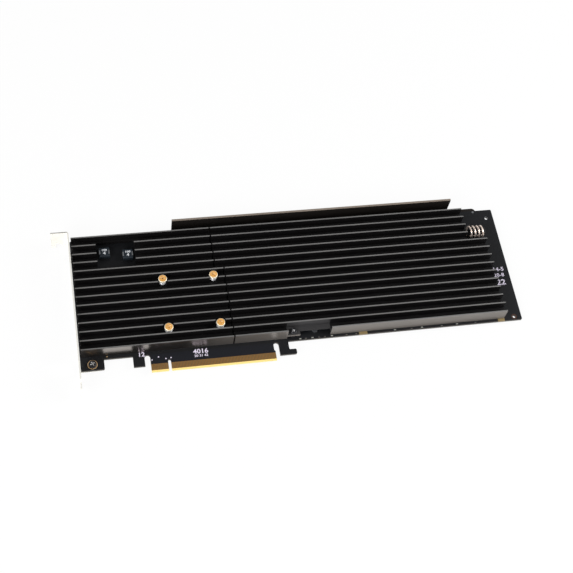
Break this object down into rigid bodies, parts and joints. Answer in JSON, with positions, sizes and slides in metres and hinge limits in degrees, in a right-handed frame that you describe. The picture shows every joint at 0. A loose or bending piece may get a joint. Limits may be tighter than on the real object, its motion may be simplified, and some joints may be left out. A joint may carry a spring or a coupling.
{
  "type": "nvme adapter card",
  "caption": "Full-length expansion card that carries plug-in solid state drives under two black finned heatsinks, with an edge connector, slot bracket and rear plate.",
  "frame": {"origin": "middle of the connector's key notch, at the card's bottom edge, on the component face of the board", "axes": "+X along the card away from the bracket, +Y up the card away from the edge connector, +Z out of the component side; the card lies component side up"},
  "size_m": [0.3246, 0.125, 0.0184],
  "materials": {
    "solder_mask": "black solder mask over glass-epoxy laminate",
    "contact_gold": "hard gold plate",
    "bracket_plate": "bright plated sheet steel",
    "dark_screw": "dark plated steel",
    "black_anodised": "black anodised extrusion",
    "bright_screw": "nickel plated steel",
    "screw_brass": "machined brass",
    "spring_steel": "bright spring wire",
    "chip_substrate": "green laminate substrate",
    "chip_lid": "nickel plated lid",
    "thermal_pad": "soft grey thermal pad",
    "inductor_body": "pressed grey ferrite powder",
    "winding_copper": "enamelled copper wire",
    "choke_ferrite": "dark ferrite rod",
    "socket_plastic": "black moulded plastic",
    "post_steel": "tin plated steel",
    "plate_anodised": "dark anodised sheet",
    "spacer_nylon": "natural nylon",
    "light_lens": "clear moulded lens",
    "capacitor_body": "tan fired ceramic"
  },
  "bodies": {
    "root": {"circuit_board": "solder_mask", "edge_contacts": "contact_gold", "slot_bracket": "bracket_plate", "bracket_screws": "dark_screw", "switch_heatsink": "black_anodised", "drive_heatsink": "black_anodised", "notch_screw": "bright_screw", "spring_screws": "screw_brass", "screw_springs": "spring_steel", "switch_chip": "chip_substrate", "switch_lid": "chip_lid", "switch_pad": "thermal_pad", "power_inductors": "inductor_body", "choke_winding": "winding_copper", "choke_core": "choke_ferrite", "drive_sockets": "socket_plastic", "drive_posts": "post_steel", "drive_pads": "thermal_pad", "rear_plate": "plate_anodised", "press_nuts": "bright_screw", "plate_screws": "dark_screw", "plate_spacers": "spacer_nylon", "status_lights": "light_lens", "strip_capacitors": "capacitor_body"}
  },
  "joints": []
}
